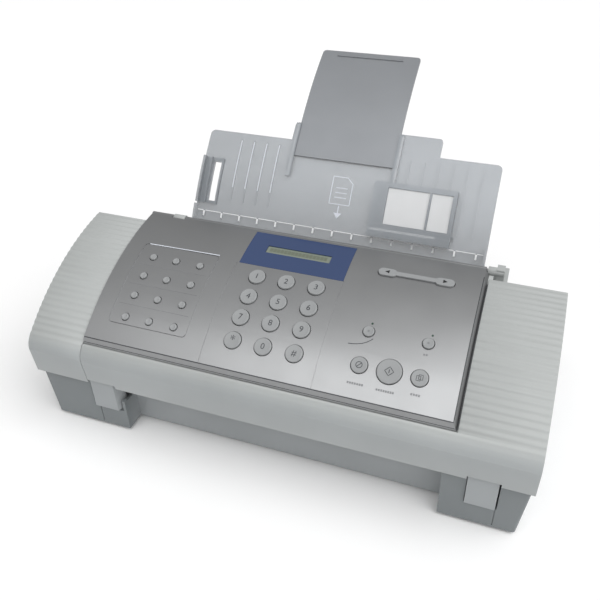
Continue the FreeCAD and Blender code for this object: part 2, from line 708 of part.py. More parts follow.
# --- Rear housing ---------------------------------------------------------------
def housing_block(x, inset, front_y, bottom_z, corner_r):
    """Solid of the rear housing's outline with a rounded upper back edge."""
    drop = math.tan(math.radians(HOUSING_SLOPE))
    top_z = HOUSING_TOP_Z - inset / math.cos(math.radians(HOUSING_SLOPE))
    back = BACK_Y - inset
    corner_z = top_z - (back - HOUSING_FRONT_Y) * drop
    block = side_prism([
        (front_y, bottom_z), (front_y, top_z - (front_y - HOUSING_FRONT_Y) * drop),
        (back, corner_z), (back, bottom_z),
    ], x)
    ridge = [
        edge for edge in block.Edges
        if abs(edge.CenterOfMass.y - back) < 0.01 and abs(edge.CenterOfMass.z - corner_z) < 0.01
    ]
    return block.makeFillet(corner_r, ridge)


def hinge_tower(x):
    """Upright cheek with the bearings of the cover hinge and the pickup roller."""
    cheek = side_prism([
        (HINGE_Y - 2.6, HINGE_Z - 2), (HINGE_Y - 2.4, 124), (PICKUP_Y - 4.3, 121.5),
        (PICKUP_Y - 4.3, 114), (124, 100), (150, 92), (164, 92), (HOPPER_BACK_Y, HOPPER_TOP_Z),
        (HINGE_Y + TOWER_TIP_R - 0.1, HINGE_Z),
    ], x)
    tower = join(cheek, rod(x, HINGE_Y, HINGE_Z, TOWER_TIP_R))
    long_x = (x[0] - 1, x[1] + 1)
    tower = tower.cut(rod(long_x, HINGE_Y, HINGE_Z, HINGE_PIN_R + RUNNING_GAP))
    return tower.cut(rod(long_x, PICKUP_Y, PICKUP_Z, SHAFT_R + RUNNING_GAP))


def hinge_ear():
    """Square shoulder on the outer side of the right hinge tower, with a lower step beside it."""
    head = box(EAR_X, EAR_Y, EAR_Z)
    step = box((EAR_X[1] - 1, EAR_X[1] + 2.8), (EAR_Y[0], 150), (104, 126))
    bore = rod((EAR_X[0] - 1, EAR_X[1] + 1), HINGE_Y, HINGE_Z, HINGE_PIN_R + RUNNING_GAP)
    return join(head, step).cut(bore)


def hopper():
    """Hollow ridge behind the foot of the paper support, between the towers."""
    x = (LEFT_TOWER_X[1] - 1, RIGHT_TOWER_X[0] + 1)
    back, top = HOPPER_BACK_Y, HOPPER_TOP_Z
    outer = side_prism([(128.5, 93), (128.5, 99), (back - 8, top), (back, top), (165, 93)], x)
    inner = side_prism([(130.5, 90), (back - 3.4, top - 5), (back - 1.4, top - 5), (161.5, 92)], x)
    support_room = arc_slab(
        (SUPPORT_Y, SUPPORT_Z), (SUPPORT_R - SUPPORT_THICKNESS - 0.4, SUPPORT_R + 20),
        (support_angle(-60), support_angle(30)), x)
    return outer.cut(inner).cut(support_room)


def rear_housing():
    """Rear shell with two hinge towers, the hopper ridge and cooling slots."""
    x = (-BASE_X, BASE_X)
    shell = housing_block(x, 0.0, HOUSING_FRONT_Y, BASE_BACK_TOP_Z, 16.0)
    inside_x = (-BASE_X + WALL, BASE_X - WALL)
    shell = shell.cut(housing_block(inside_x, WALL, HOUSING_FRONT_Y - 12, BASE_BACK_TOP_Z - 5, 16.0 - WALL))
    mouth = box((LEFT_TOWER_X[1], RIGHT_TOWER_X[0]), (HOUSING_FRONT_Y - 1, 160), (80, 145))
    shell = shell.cut(mouth)
    shell = join(shell, hinge_tower(LEFT_TOWER_X), hinge_tower(RIGHT_TOWER_X), hopper(), hinge_ear())
    slots = []
    for number in range(VENT_COUNT):
        slot_x = VENT_START_X + number * VENT_PITCH
        slots.append(box((slot_x, slot_x + VENT_WIDTH), (BACK_Y - WALL - 1, BACK_Y + 1), VENT_Z))
    return shell.cut(slots)


# --- Paper support --------------------------------------------------------------
def support_angle(t):
    """Angle on the support's curve at a distance t up from its visible foot."""
    return math.radians(SUPPORT_START_SLOPE) - t / SUPPORT_R


def support_slab(x, t, heights):
    """Piece of the support's curve: x range, distance range and height above the face."""
    radii = (SUPPORT_R + heights[0], SUPPORT_R + heights[1])
    return arc_slab((SUPPORT_Y, SUPPORT_Z), radii, (support_angle(t[0]), support_angle(t[1])), x)


def support_point(t, height):
    """Y and Z of a point on the support's curve at a height above the face."""
    return wheel_point(SUPPORT_Y, SUPPORT_Z, SUPPORT_R + height, support_angle(t))


def round_top_corners(shape, t, x_values, radius):
    """Round the corners of a curved plate at a given distance up the curve."""
    picked = []
    for edge in shape.Edges:
        middle = edge.CenterOfMass
        distance = SUPPORT_R * (math.radians(SUPPORT_START_SLOPE) - math.atan2(
            SUPPORT_Y - middle.y, middle.z - SUPPORT_Z))
        near_x = any(abs(middle.x - x) < 0.01 for x in x_values)
        if near_x and abs(distance - t) < 0.2 and edge.Length < 4:
            picked.append(edge)
    return shape.makeFillet(radius, picked)


def paper_support():
    """Clear curved plate with ribs, rails for the extension and two slots."""
    face = (-SUPPORT_THICKNESS, 0.0)
    wide = support_slab(SUPPORT_X, (SUPPORT_FOOT_T, SUPPORT_TOP_T), face)
    middle = support_slab(SUPPORT_MID_X, (SUPPORT_TOP_T - 10, SUPPORT_MID_TOP_T), face)
    plate = join(wide, middle)
    plate = round_top_corners(plate, SUPPORT_TOP_T, SUPPORT_X, 4.0)
    plate = round_top_corners(plate, SUPPORT_MID_TOP_T, SUPPORT_MID_X, 3.0)
    details = []
    for x in SUPPORT_RIBS_X:
        details.append(support_slab((x - 0.6, x + 0.6), (14.0, SUPPORT_TOP_T - 6), (-0.5, 0.9)))
    for side, edge_x in ((-1, EXTENSION_X[0]), (1, EXTENSION_X[1])):
        near = edge_x + side * 0.6
        far = near + side * RAIL_WIDTH
        lip = near - side * 1.6
        details.append(support_slab(sorted((near, far)), RAIL_T, (-0.5, RAIL_HIGH)))
        details.append(support_slab(sorted((lip, far)), RAIL_T, (EXTENSION_HIGH + 0.4, RAIL_HIGH)))
    for x in ((SUPPORT_X[0], SUPPORT_X[0] + 2), (SUPPORT_X[1] - 2, SUPPORT_X[1])):
        details.append(support_slab(x, (-8.0, 8.0), (-0.5, 5.0)))
    step_x = (SUPPORT_X[0] + 1, SUPPORT_X[1] - 1)
    details.append(support_slab(step_x, STEP_T, (-0.5, 0.8)))
    for number in range(TOOTH_COUNT):
        x = SUPPORT_X[0] + 8 + number * TOOTH_PITCH
        details.append(support_slab((x, x + 1.4), (STEP_T[0] - 3.5, STEP_T[1]), (-0.5, 1.6)))
    slots = [
        support_slab(LEFT_SLOT_X, LEFT_SLOT_T, (-5, 5)),
        support_slab(GUIDE_SLOT_X, GUIDE_SLOT_T, (-5, 5)),
    ]
    return join(plate, *details).cut(slots)


def support_extension():
    """Clear plate that slides out along the curve, with a finger ridge at its top."""
    heights = (EXTENSION_LOW, EXTENSION_HIGH)
    plate = support_slab(EXTENSION_X, (EXTENSION_FOOT_T, EXTENSION_TOP_T), heights)
    plate = round_top_corners(plate, EXTENSION_TOP_T, EXTENSION_X, 3.0)
    ridge_x = (EXTENSION_X[0] + 14, EXTENSION_X[1] - 14)
    ridge_t = (EXTENSION_TOP_T - 6, EXTENSION_TOP_T - 4.8)
    ridge = support_slab(ridge_x, ridge_t, (EXTENSION_HIGH - 0.5, EXTENSION_HIGH + 0.8))
    return join(plate, ridge)


def left_paper_guide():
    """Fixed clear guide: a flanged plate with a slot and an upright wall."""
    plate = support_slab(LEFT_GUIDE_X, LEFT_GUIDE_T, (0.0, 1.6))
    wall = support_slab((LEFT_GUIDE_X[0], LEFT_GUIDE_X[0] + 2), LEFT_GUIDE_T, (0.0, 6.0))
    fin = support_slab((LEFT_SLOT_X[0] - 2.4, LEFT_SLOT_X[0] - 1), LEFT_GUIDE_T, (0.0, 4.0))
    return join(plate, wall, fin).cut(support_slab(LEFT_SLOT_X, LEFT_SLOT_T, (-1, 9)))


def right_paper_guide():
    """Clear sliding guide: window frame over the paper, side wall and slot tongue."""
    left, right = RIGHT_GUIDE_X
    frame = support_slab(RIGHT_GUIDE_X, RIGHT_GUIDE_T, (GUIDE_LOW, GUIDE_HIGH))
    for window in RIGHT_WINDOWS_X:
        frame = frame.cut(support_slab(window, RIGHT_WINDOW_T, (GUIDE_LOW - 1, GUIDE_HIGH + 1)))
    wall = support_slab((right - 1.8, right), RIGHT_GUIDE_T, (1.6, GUIDE_HIGH))
    skirt_t = (RIGHT_GUIDE_T[0], RIGHT_GUIDE_T[0] + 1.4)
    skirt = support_slab(RIGHT_GUIDE_X, skirt_t, (GUIDE_LOW - 1.6, GUIDE_HIGH))
    tongue_t = (GUIDE_SLOT_T[0] + 0.4, GUIDE_SLOT_T[1] - 0.4)
    tongue = support_slab((right - 11, right), tongue_t, (-3.2, 2.8))
    foot_t = (GUIDE_SLOT_T[0] - 0.2, GUIDE_SLOT_T[1] + 2)
    foot = support_slab((right - 13, right + 1.5), foot_t, (-4.4, -2.8))
    return join(frame, wall, skirt, tongue, foot)


# --- Paper path -----------------------------------------------------------------
def chute():
    """Curved guide that leads paper from the support down to the feed roller."""
    x = (PAPER_X[0] - 4, PLATE_RIGHT_X[0])
    centre = (FEED_Y + 6, PATH_Z + CHUTE_BEND_R)
    slope = math.radians(CHUTE_SLOPE)
    bend = arc_slab(centre, (CHUTE_BEND_R, CHUTE_BEND_R + 2.2), (math.pi + slope, math.pi), x)
    start = wheel_point(centre[0], centre[1], CHUTE_BEND_R, math.pi + slope)
    start_back = wheel_point(centre[0], centre[1], CHUTE_BEND_R + 2.2, math.pi + slope)
    rise = CHUTE_TOP_Z - start[1]
    run = rise / math.tan(slope)
    straight = side_prism([
        start, (start[0] + run, start[1] + rise),
        (start_back[0] + run, start_back[1] + rise), start_back,
    ], x)
    leg_x = (x[0], x[0] + 4)
    leg = box(leg_x, (102, 110), (BASE_FLOOR_Z + WALL, 56))
    behind = side_prism([
        start_back, (start_back[0] + run, start_back[1] + rise),
        (140, CHUTE_TOP_Z), (140, 0), (start_back[0], 0),
    ], leg_x)
    return join(bend, straight, leg.common(behind))


def platen():
    """Ribbed plate that carries the paper under the print head, and the chute behind it."""
    deck = box((PLATE_LEFT_X[1], PLATE_RIGHT_X[0]), (48, 71), (27, PATH_Z - 2))
    deck = deck.cut(box((PLATE_LEFT_X[1] + 3, PLATE_RIGHT_X[0] - 3), (51, 68), (26, PATH_Z - 4)))
    ribs = []
    for number in range(PLATEN_RIBS):
        x = PAPER_X[0] + number * (PAPER_X[1] - PAPER_X[0]) / (PLATEN_RIBS - 1)
        ribs.append(box((x - 0.8, x + 0.8), (48, 71), (PATH_Z - 2.5, PATH_Z - 0.4)))
    return group(join(deck, *ribs), chute())


def involute(angle):
    """Involute function of a pressure angle."""
    return math.tan(angle) - angle


def gear(teeth, x, y, z, phase, bore):
    """Spur gear about an axis along X; one tooth points along +Y turned by the phase."""
    pressure = math.radians(20)
    pitch_r = teeth * GEAR_MODULE / 2
    base_r = pitch_r * math.cos(pressure)
    root_r = pitch_r - 1.25 * GEAR_MODULE
    tip_r = pitch_r + 0.9 * GEAR_MODULE
    half_at_pitch = math.pi / (2 * teeth) - GEAR_BACKLASH / (2 * pitch_r)

    def half_width(radius):
        flank = math.acos(min(1.0, base_r / radius))
        return half_at_pitch + involute(pressure) - involute(flank)

    rising = ((root_r, -1), (pitch_r, -1), (tip_r, -1))
    falling = ((tip_r, 1), (pitch_r, 1), (root_r, 1))
    points = []
    for number in range(teeth):
        centre = phase + 2 * math.pi * number / teeth
        for radius, side in rising + falling:
            angle = centre + side * half_width(max(radius, base_r))
            points.append((y + radius * math.cos(angle), z + radius * math.sin(angle)))
    return side_prism(points, x).cut(rod((x[0] - 1, x[1] + 1), y, z, bore))


def sleeve(x, y, z, radius):
    """Rubber sleeve on a roller shaft."""
    return tube(x, y, z, radius, SHAFT_R + 0.02)


def feed_roller():
    """Main feed roller: shaft, rubber sleeve and drive gear."""
    shaft = rod((-165.0, PLATE_RIGHT_X[1] + 1), FEED_Y, ROLLER_Z, SHAFT_R)
    rubber = sleeve(PAPER_X, FEED_Y, ROLLER_Z, FEED_R)
    drive = gear(FEED_TEETH, GEAR_X, FEED_Y, ROLLER_Z, math.pi, SHAFT_R + 0.02)
    return group(shaft, rubber, drive)


def exit_roller():
    """Exit roller: shaft, five rubber rings and its gear."""
    shaft = rod((-156.0, PLATE_RIGHT_X[1] + 1), EXIT_Y, ROLLER_Z, SHAFT_R)
    rings = []
    for number in range(5):
        x = PAPER_X[0] + 18 + number * 44.0
        rings.append(sleeve((x, x + 14), EXIT_Y, ROLLER_Z, EXIT_R))
    drive = gear(EXIT_TEETH, GEAR_X, EXIT_Y, ROLLER_Z, 0.0, SHAFT_R + 0.02)
    return group(shaft, drive, *rings)


def idler_gear():
    """Idler between the feed gear and the exit gear, on a fixed pin of the frame."""
    half_tooth = math.pi / IDLER_TEETH
    return gear(IDLER_TEETH, GEAR_X, IDLER_Y, ROLLER_Z, half_tooth, SHAFT_R + RUNNING_GAP)


def document_roller():
    """White roller that draws a document under the image sensor."""
    shaft = rod((PLATE_LEFT_X[0] - 2, PLATE_RIGHT_X[1] + 1), DOCUMENT_Y, DOCUMENT_Z, SHAFT_R)
    return group(shaft, sleeve(PAPER_X, DOCUMENT_Y, DOCUMENT_Z, FEED_R))


def pickup_roller():
    """Pickup roller that takes the front sheet off the paper stack."""
    shaft = rod((LEFT_TOWER_X[0] + 2, RIGHT_TOWER_X[1] - 2), PICKUP_Y, PICKUP_Z, SHAFT_R)
    rubbers = [sleeve(x, PICKUP_Y, PICKUP_Z, PICKUP_R) for x in ((-60.0, -30.0), (30.0, 60.0))]
    return group(shaft, *rubbers)


# --- Mechanism ------------------------------------------------------------------
def frame_plate(x):
    """One side plate with its bearing holes."""
    foot_z = BASE_FLOOR_Z + WALL
    plate = side_prism([
        (24, foot_z), (112, foot_z), (112, 98), (100, 110), (62, 104), (32, 82), (24, 74),
    ], x)
    holes = []
    for y, z in ((FEED_Y, ROLLER_Z), (EXIT_Y, ROLLER_Z), (DOCUMENT_Y, DOCUMENT_Z)):
        holes.append(rod((x[0] - 1, x[1] + 1), y, z, SHAFT_R + RUNNING_GAP))
    holes.append(rod((x[0] - 1, x[1] + 1), RAIL_Y, RAIL_Z, RAIL_R + 0.02))
    return plate.cut(holes)


def mechanism_frame():
    """Two side plates, two cross beams and the idler's pin."""
    between = (PLATE_LEFT_X[1] - 0.5, PLATE_RIGHT_X[0] + 0.5)
    low_beam = box(between, (50, 68), (14, 15.5))
    high_beam = box(between, (95.5, 97), (99.5, 108))
    pin = rod((GEAR_X[0] - 1, PLATE_LEFT_X[1]), IDLER_Y, ROLLER_Z, SHAFT_R)
    return join(frame_plate(PLATE_LEFT_X), frame_plate(PLATE_RIGHT_X), low_beam, high_beam, pin)


def carriage_rail():
    """Round steel rail of the carriage."""
    return rod((PLATE_LEFT_X[0] - 1.5, PLATE_RIGHT_X[1] + 1.5), RAIL_Y, RAIL_Z, RAIL_R)


def carriage():
    """Carriage with a pocket for the cartridge and a bearing arm on the rail."""
    x = (CARRIAGE_X - CARRIAGE_HALF, CARRIAGE_X + CARRIAGE_HALF)
    cradle = box(x, (48, 80), (39, 84))
    pocket = box((x[0] + 2.6, x[1] - 2.6), (50.4, 77.4), (41.4, 90))
    nozzle_way = box((CARRIAGE_X - 9, CARRIAGE_X + 9), (54, 66), (38, 43))
    arm = box(x, (79, 98), (59, 77.5))
    bearing = rod((x[0] - 1, x[1] + 1), RAIL_Y, RAIL_Z, RAIL_R + RUNNING_GAP)
    return join(cradle.cut([pocket, nozzle_way]), arm).cut(bearing)


def ink_cartridge():
    """Ink cartridge with its nozzle block and a grip on top."""
    body = box((CARRIAGE_X - 18.9, CARRIAGE_X + 18.9), (51, 76.8), (41.9, 88))
    nozzle = box((CARRIAGE_X - 7, CARRIAGE_X + 7), (55, 65), (37.6, 42.5))
    grip = box((CARRIAGE_X - 10, CARRIAGE_X + 10), (62, 65), (87, 95))
    return join(body, nozzle, grip)


def belt_loop(radius, y):
    """Stadium-shaped block in the plane of the belt."""
    length = BELT_X[1] - BELT_X[0]
    backward = FreeCAD.Vector(0, 1, 0)
    ends = []
    for x in BELT_X:
        centre = FreeCAD.Vector(x, y[0], BELT_Z)
        ends.append(Part.makeCylinder(radius, y[1] - y[0], centre, backward))
    corner = FreeCAD.Vector(BELT_X[0], y[0], BELT_Z - radius)
    middle = Part.makeBox(length, y[1] - y[0], 2 * radius, corner)
    return join(middle, *ends)


def carriage_belt():
    """Endless toothed belt of the carriage, drawn as a plain band."""
    outer = belt_loop(BELT_R, BELT_Y)
    return outer.cut(belt_loop(BELT_R - BELT_THICKNESS, (BELT_Y[0] - 1, BELT_Y[1] + 1)))


def drive_motors():
    """Carriage motor with its pulley, the far pulley on its bracket, and the feed motor."""
    backward = FreeCAD.Vector(0, 1, 0)

    def round_part(x, y, radius):
        return Part.makeCylinder(radius, y[1] - y[0], FreeCAD.Vector(x, y[0], BELT_Z), backward)

    pulley_r = BELT_R - BELT_THICKNESS - 0.2
    carriage_motor = join(
        round_part(BELT_X[0], (99, 114), 12.5),
        round_part(BELT_X[0], (BELT_Y[0], 100), 1.5),
        round_part(BELT_X[0], BELT_Y, pulley_r),
        box((PLATE_LEFT_X[1], BELT_X[0]), (99, 100.5), (BELT_Z - 12, BELT_Z + 12)))
    far_pulley = join(
        round_part(BELT_X[1], BELT_Y, pulley_r),
        round_part(BELT_X[1], (BELT_Y[0], 99), 1.5),
        box((BELT_X[1] - 4, PLATE_RIGHT_X[0]), (98, 99.5), (BELT_Z - 5, BELT_Z + 5)))
    feed_motor = rod((-182.0, -158.0), FEED_Y, ROLLER_Z, 14.0)
    feed_motor = feed_motor.cut(rod((-166.0, -157.0), FEED_Y, ROLLER_Z, SHAFT_R + RUNNING_GAP))
    mount = box((-182.0, -158.0), (FEED_Y - 9, FEED_Y + 9), (BASE_FLOOR_Z + WALL, ROLLER_Z - 9))
    return group(carriage_motor, far_pulley, join(feed_motor, mount))


def image_sensor():
    """Contact image sensor bar that hangs from the cover's bed."""
    x = (-112.0, 112.0)
    body = box(x, (23, 37), (DOCUMENT_Z + FEED_R + 0.6, 84))
    foot = box(x, (14, 24), (75, 78))
    web = box(x, (14, 17), (75, 100))
    above_bed = barrel_slab((x[0] - 1, x[1] + 1), (5, 40), (BED_UNDER, 20))
    return join(body, foot, web.cut(above_bed))


# --- Electronics ------------------------------------------------------------------
def main_board():
    """Main board on four spacers, with its larger components."""
    board = box((-140, 50), (114, 164), (BOARD_Z, BOARD_Z + 1.6))
    top = BOARD_Z + 1.6
    parts = [
        box((-30, -6), (128, 152), (top, top + 2.4)),
        box((6, 22), (130, 140), (top, top + 2)),
        box((-48, -38), (126, 156), (top, top + 6)),
        box((28, 44), (120, 126), (top, top + 7)),
    ]
    for number in range(4):
        parts.append(pillar(-130 + number * 9, 124, (top, top + 11), 3.6))
    for x in (-134, 44):
        for y in (119, 159):
            parts.append(pillar(x, y, (BASE_FLOOR_Z + WALL, BOARD_Z), 3))
    return join(board, *parts)


def power_supply():
    """Boxed power supply on two runners."""
    case = box((64, 172), (112, 157), (8, 44))
    runners = [box((64, 172), y, (BASE_FLOOR_Z + WALL, 8)) for y in ((114, 120), (149, 155))]
    return join(case, *runners)


def socket_blocks(grow):
    """Outer blocks of the two telephone jacks and the mains inlet."""
    blocks = []
    for x in JACKS_X:
        span = (x - JACK_WIDTH / 2 - grow, x + JACK_WIDTH / 2 + grow)
        blocks.append(box(span, (150, BACK_Y + 0.6), (BOARD_Z + 1.6 - grow, 25 + grow)))
    half = INLET_WIDTH / 2 + grow
    inlet_z = (INLET_Z[0] - grow, INLET_Z[1] + grow)
    blocks.append(box((INLET_X - half, INLET_X + half), (157.2, BACK_Y + 0.6), inlet_z))
    return blocks


def rear_sockets():
    """Two telephone jacks and the two-pin mains inlet."""
    line_jack, extension_jack, inlet = socket_blocks(0.0)
    jacks = []
    for x, block in zip(JACKS_X, (line_jack, extension_jack)):
        mouth = box((x - 4.9, x + 4.9), (158, BACK_Y + 1), (14, 20.8))
        latch_way = box((x - 3.1, x + 3.1), (158, BACK_Y + 1), (20, 22.6))
        jacks.append(block.cut([mouth, latch_way]))
    middle_z = (INLET_Z[0] + INLET_Z[1]) / 2
    backward = FreeCAD.Vector(0, 1, 0)
    lobes = []
    pins = []
    for side in (-1, 1):
        spot = FreeCAD.Vector(INLET_X + side * 4.3, 160, middle_z)
        lobes.append(Part.makeCylinder(4.4, 12, spot, backward))
        pins.append(Part.makeCylinder(1.2, 8, spot, backward))
    waist = box((INLET_X - 4.3, INLET_X + 4.3), (160, 172), (middle_z - 3.4, middle_z + 3.4))
    inlet = join(inlet.cut([waist] + lobes), *pins)
    return group(*jacks, inlet)


# --- Export -----------------------------------------------------------------------
def key_nodes():
    """Every key cap, each in its own node, in place on the panel."""
    nodes = {}
    for name, x, y, radius in key_sites():
        nodes[name] = on_panel(round_key(radius), x, y)
    nodes["scroll_rocker"] = on_panel(scroll_rocker(), ROCKER_X, ROCKER_Y)
    return nodes


def all_nodes():
    """Every node of the machine by name."""
    makers = (
        base_chassis, rubber_feet, left_end_cover, rear_housing, mechanism_frame, platen,
        carriage_rail, carriage_belt, drive_motors, main_board, rear_sockets, power_supply,
        paper_support, support_extension, left_paper_guide, right_paper_guide, carriage, ink_cartridge,
        pickup_roller, feed_roller, idler_gear, exit_roller, document_roller, image_sensor,
        top_cover, operator_panel, display_lens, keypad_board, left_latch, right_latch,
    )
    nodes = {maker.__name__: maker() for maker in makers}
    nodes.update(key_nodes())
    return nodes


def depth_shift():
    """Shift that puts the middle of the machine's depth at y = 0."""
    return -support_point(EXTENSION_TOP_T, EXTENSION_LOW)[0] / 2


def main():
    os.makedirs("parts", exist_ok=True)
    shift = FreeCAD.Vector(0, depth_shift(), 0)
    for name, shape in all_nodes().items():
        placed = shape.copy()
        placed.translate(shift)
        placed.exportStep(f"parts/{name}.step")


if __name__ == "__main__":
    main()
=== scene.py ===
import json
import math
import bpy
from mathutils import Euler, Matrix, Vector


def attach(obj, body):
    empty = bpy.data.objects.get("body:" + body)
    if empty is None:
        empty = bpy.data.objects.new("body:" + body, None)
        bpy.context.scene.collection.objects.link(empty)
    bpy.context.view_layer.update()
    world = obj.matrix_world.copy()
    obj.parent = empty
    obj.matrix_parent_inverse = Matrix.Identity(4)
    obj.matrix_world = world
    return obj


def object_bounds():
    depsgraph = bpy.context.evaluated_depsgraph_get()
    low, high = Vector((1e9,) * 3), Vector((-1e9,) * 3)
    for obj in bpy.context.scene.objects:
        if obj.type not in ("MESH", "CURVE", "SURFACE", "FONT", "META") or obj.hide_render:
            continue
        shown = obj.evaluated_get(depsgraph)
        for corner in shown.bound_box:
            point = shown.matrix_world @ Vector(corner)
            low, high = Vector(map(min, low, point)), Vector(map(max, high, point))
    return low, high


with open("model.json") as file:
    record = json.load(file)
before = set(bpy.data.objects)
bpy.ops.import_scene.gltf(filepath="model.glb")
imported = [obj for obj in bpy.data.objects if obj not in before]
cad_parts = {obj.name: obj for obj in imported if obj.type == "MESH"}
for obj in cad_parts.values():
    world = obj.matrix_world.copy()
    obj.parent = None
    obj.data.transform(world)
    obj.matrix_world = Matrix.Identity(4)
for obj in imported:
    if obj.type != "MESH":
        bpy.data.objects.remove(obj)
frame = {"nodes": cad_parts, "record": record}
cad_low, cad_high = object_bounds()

MM = 0.001
NODES = frame["nodes"]
SLOT_OF = {part["node"]: part["material_slot"] for part in frame["record"]["subparts"]}
BODY_OF = {}
for body_name, node_names in frame["record"]["behaviour"]["bodies"].items():
    for node_name in node_names:
        BODY_OF[node_name] = body_name
FRONT_Y = cad_low.y

# Circles of the object's side view, in millimetres, with y from the front face.
PANEL_CENTRE_Y = 140.5
PANEL_CENTRE_Z = -69.7
PANEL_RADIUS = 207.0
SUPPORT_CENTRE_Y = 402.0
SUPPORT_CENTRE_Z = -24.2
SUPPORT_RADIUS = 304.9
SUPPORT_SLOPE = 58.5

# --- Materials --------------------------------------------------------------------
# Height of the surface grain, in metres, and the roughness that several materials share.
MOULDED_RELIEF = 0.00004
GRAIN_RELIEF = 0.00002
SMOOTH_RELIEF = 0.00001
POLISHED_RELIEF = 0.000004
GLASS_RELIEF = 0.000002
GLOSSY = 0.18
SATIN = 0.37
MATT = 0.5


def srgb(*channels):
    """Linear colour from 0-255 display values."""
    linear = [((c / 255 + 0.055) / 1.055) ** 2.4 if c > 10 else c / 255 / 12.92 for c in channels]
    return (*linear, 1.0)


class Surface:
    """Principled material with procedural colour, roughness and bump variation."""

    def __init__(self, name, color, rough, **options):
        self.material = bpy.data.materials.new(name)
        self.material.use_nodes = True
        self.nodes = self.material.node_tree.nodes
        self.links = self.material.node_tree.links
        self.shader = self.nodes["Principled BSDF"]
        self.shader.inputs["Metallic"].default_value = options.get("metallic", 0.0)
        self.shader.inputs["IOR"].default_value = 1.46
        self.shader.inputs["Coat Weight"].default_value = options.get("coat", 0.0)
        self.shader.inputs["Coat Roughness"].default_value = 0.1
        self.shader.inputs["Alpha"].default_value = options.get("alpha", 1.0)
        self.place = self.nodes.new("ShaderNodeTexCoord").outputs["Object"]
        deep = (options.get("deep_color"), options.get("deep_span"))
        self.vary_color(color, options.get("spread", 0.05), *deep)
        self.vary_rough(rough, options.get("rough_spread", 0.08))
        self.add_bump(options.get("grain", 1800.0), options.get("relief", GRAIN_RELIEF))

    def noise(self, scale, detail):
        """Noise value over the object's own coordinates."""
        node = self.nodes.new("ShaderNodeTexNoise")
        node.inputs["Scale"].default_value = scale
        node.inputs["Detail"].default_value = detail
        self.links.new(self.place, node.inputs["Vector"])
        return node.outputs["Fac"]

    def shades(self, color, spread, fac):
        """Colour that wanders a little darker and lighter with a noise value."""
        ramp = self.nodes.new("ShaderNodeValToRGB")
        ramp.color_ramp.interpolation = "EASE"
        dark = tuple(c * (1 - spread) for c in color[:3])
        light = tuple(min(1.0, c * (1 + spread)) for c in color[:3])
        ramp.color_ramp.elements[0].position = 0.2
        ramp.color_ramp.elements[1].position = 0.8
        ramp.color_ramp.elements[0].color = (*dark, 1)
        ramp.color_ramp.elements[1].color = (*light, 1)
        self.links.new(fac, ramp.inputs["Fac"])
        return ramp.outputs["Color"]

    def vary_color(self, color, spread, deep_color, deep_span):
        """Base colour, which may pass into a second one from front to back."""
        fac = self.noise(14.0, 4.0)
        tone = self.shades(color, spread, fac)
        if deep_color:
            split = self.nodes.new("ShaderNodeSeparateXYZ")
            self.links.new(self.place, split.inputs["Vector"])
            depth = self.nodes.new("ShaderNodeMapRange")
            depth.inputs["From Min"].default_value = deep_span[0]
            depth.inputs["From Max"].default_value = deep_span[1]
            self.links.new(split.outputs["Y"], depth.inputs["Value"])
            mix = self.nodes.new("ShaderNodeMix")
            mix.data_type = "RGBA"
            self.links.new(depth.outputs["Result"], mix.inputs["Factor"])
            self.links.new(tone, mix.inputs["A"])
            self.links.new(self.shades(deep_color, spread, fac), mix.inputs["B"])
            tone = mix.outputs["Result"]
        self.links.new(tone, self.shader.inputs["Base Color"])

    def vary_rough(self, rough, spread):
        """Roughness that wanders with larger smudges."""
        span = self.nodes.new("ShaderNodeMapRange")
        span.inputs["To Min"].default_value = max(0.02, rough - spread)
        span.inputs["To Max"].default_value = min(1.0, rough + spread)
        self.links.new(self.noise(45.0, 6.0), span.inputs["Value"])
        self.links.new(span.outputs["Result"], self.shader.inputs["Roughness"])

    def add_bump(self, scale, relief):
        """Fine grain of the surface."""
        bump = self.nodes.new("ShaderNodeBump")
        bump.inputs["Strength"].default_value = 0.6
        bump.inputs["Distance"].default_value = relief
        self.links.new(self.noise(scale, 3.0), bump.inputs["Height"])
        self.links.new(bump.outputs["Normal"], self.shader.inputs["Normal"])


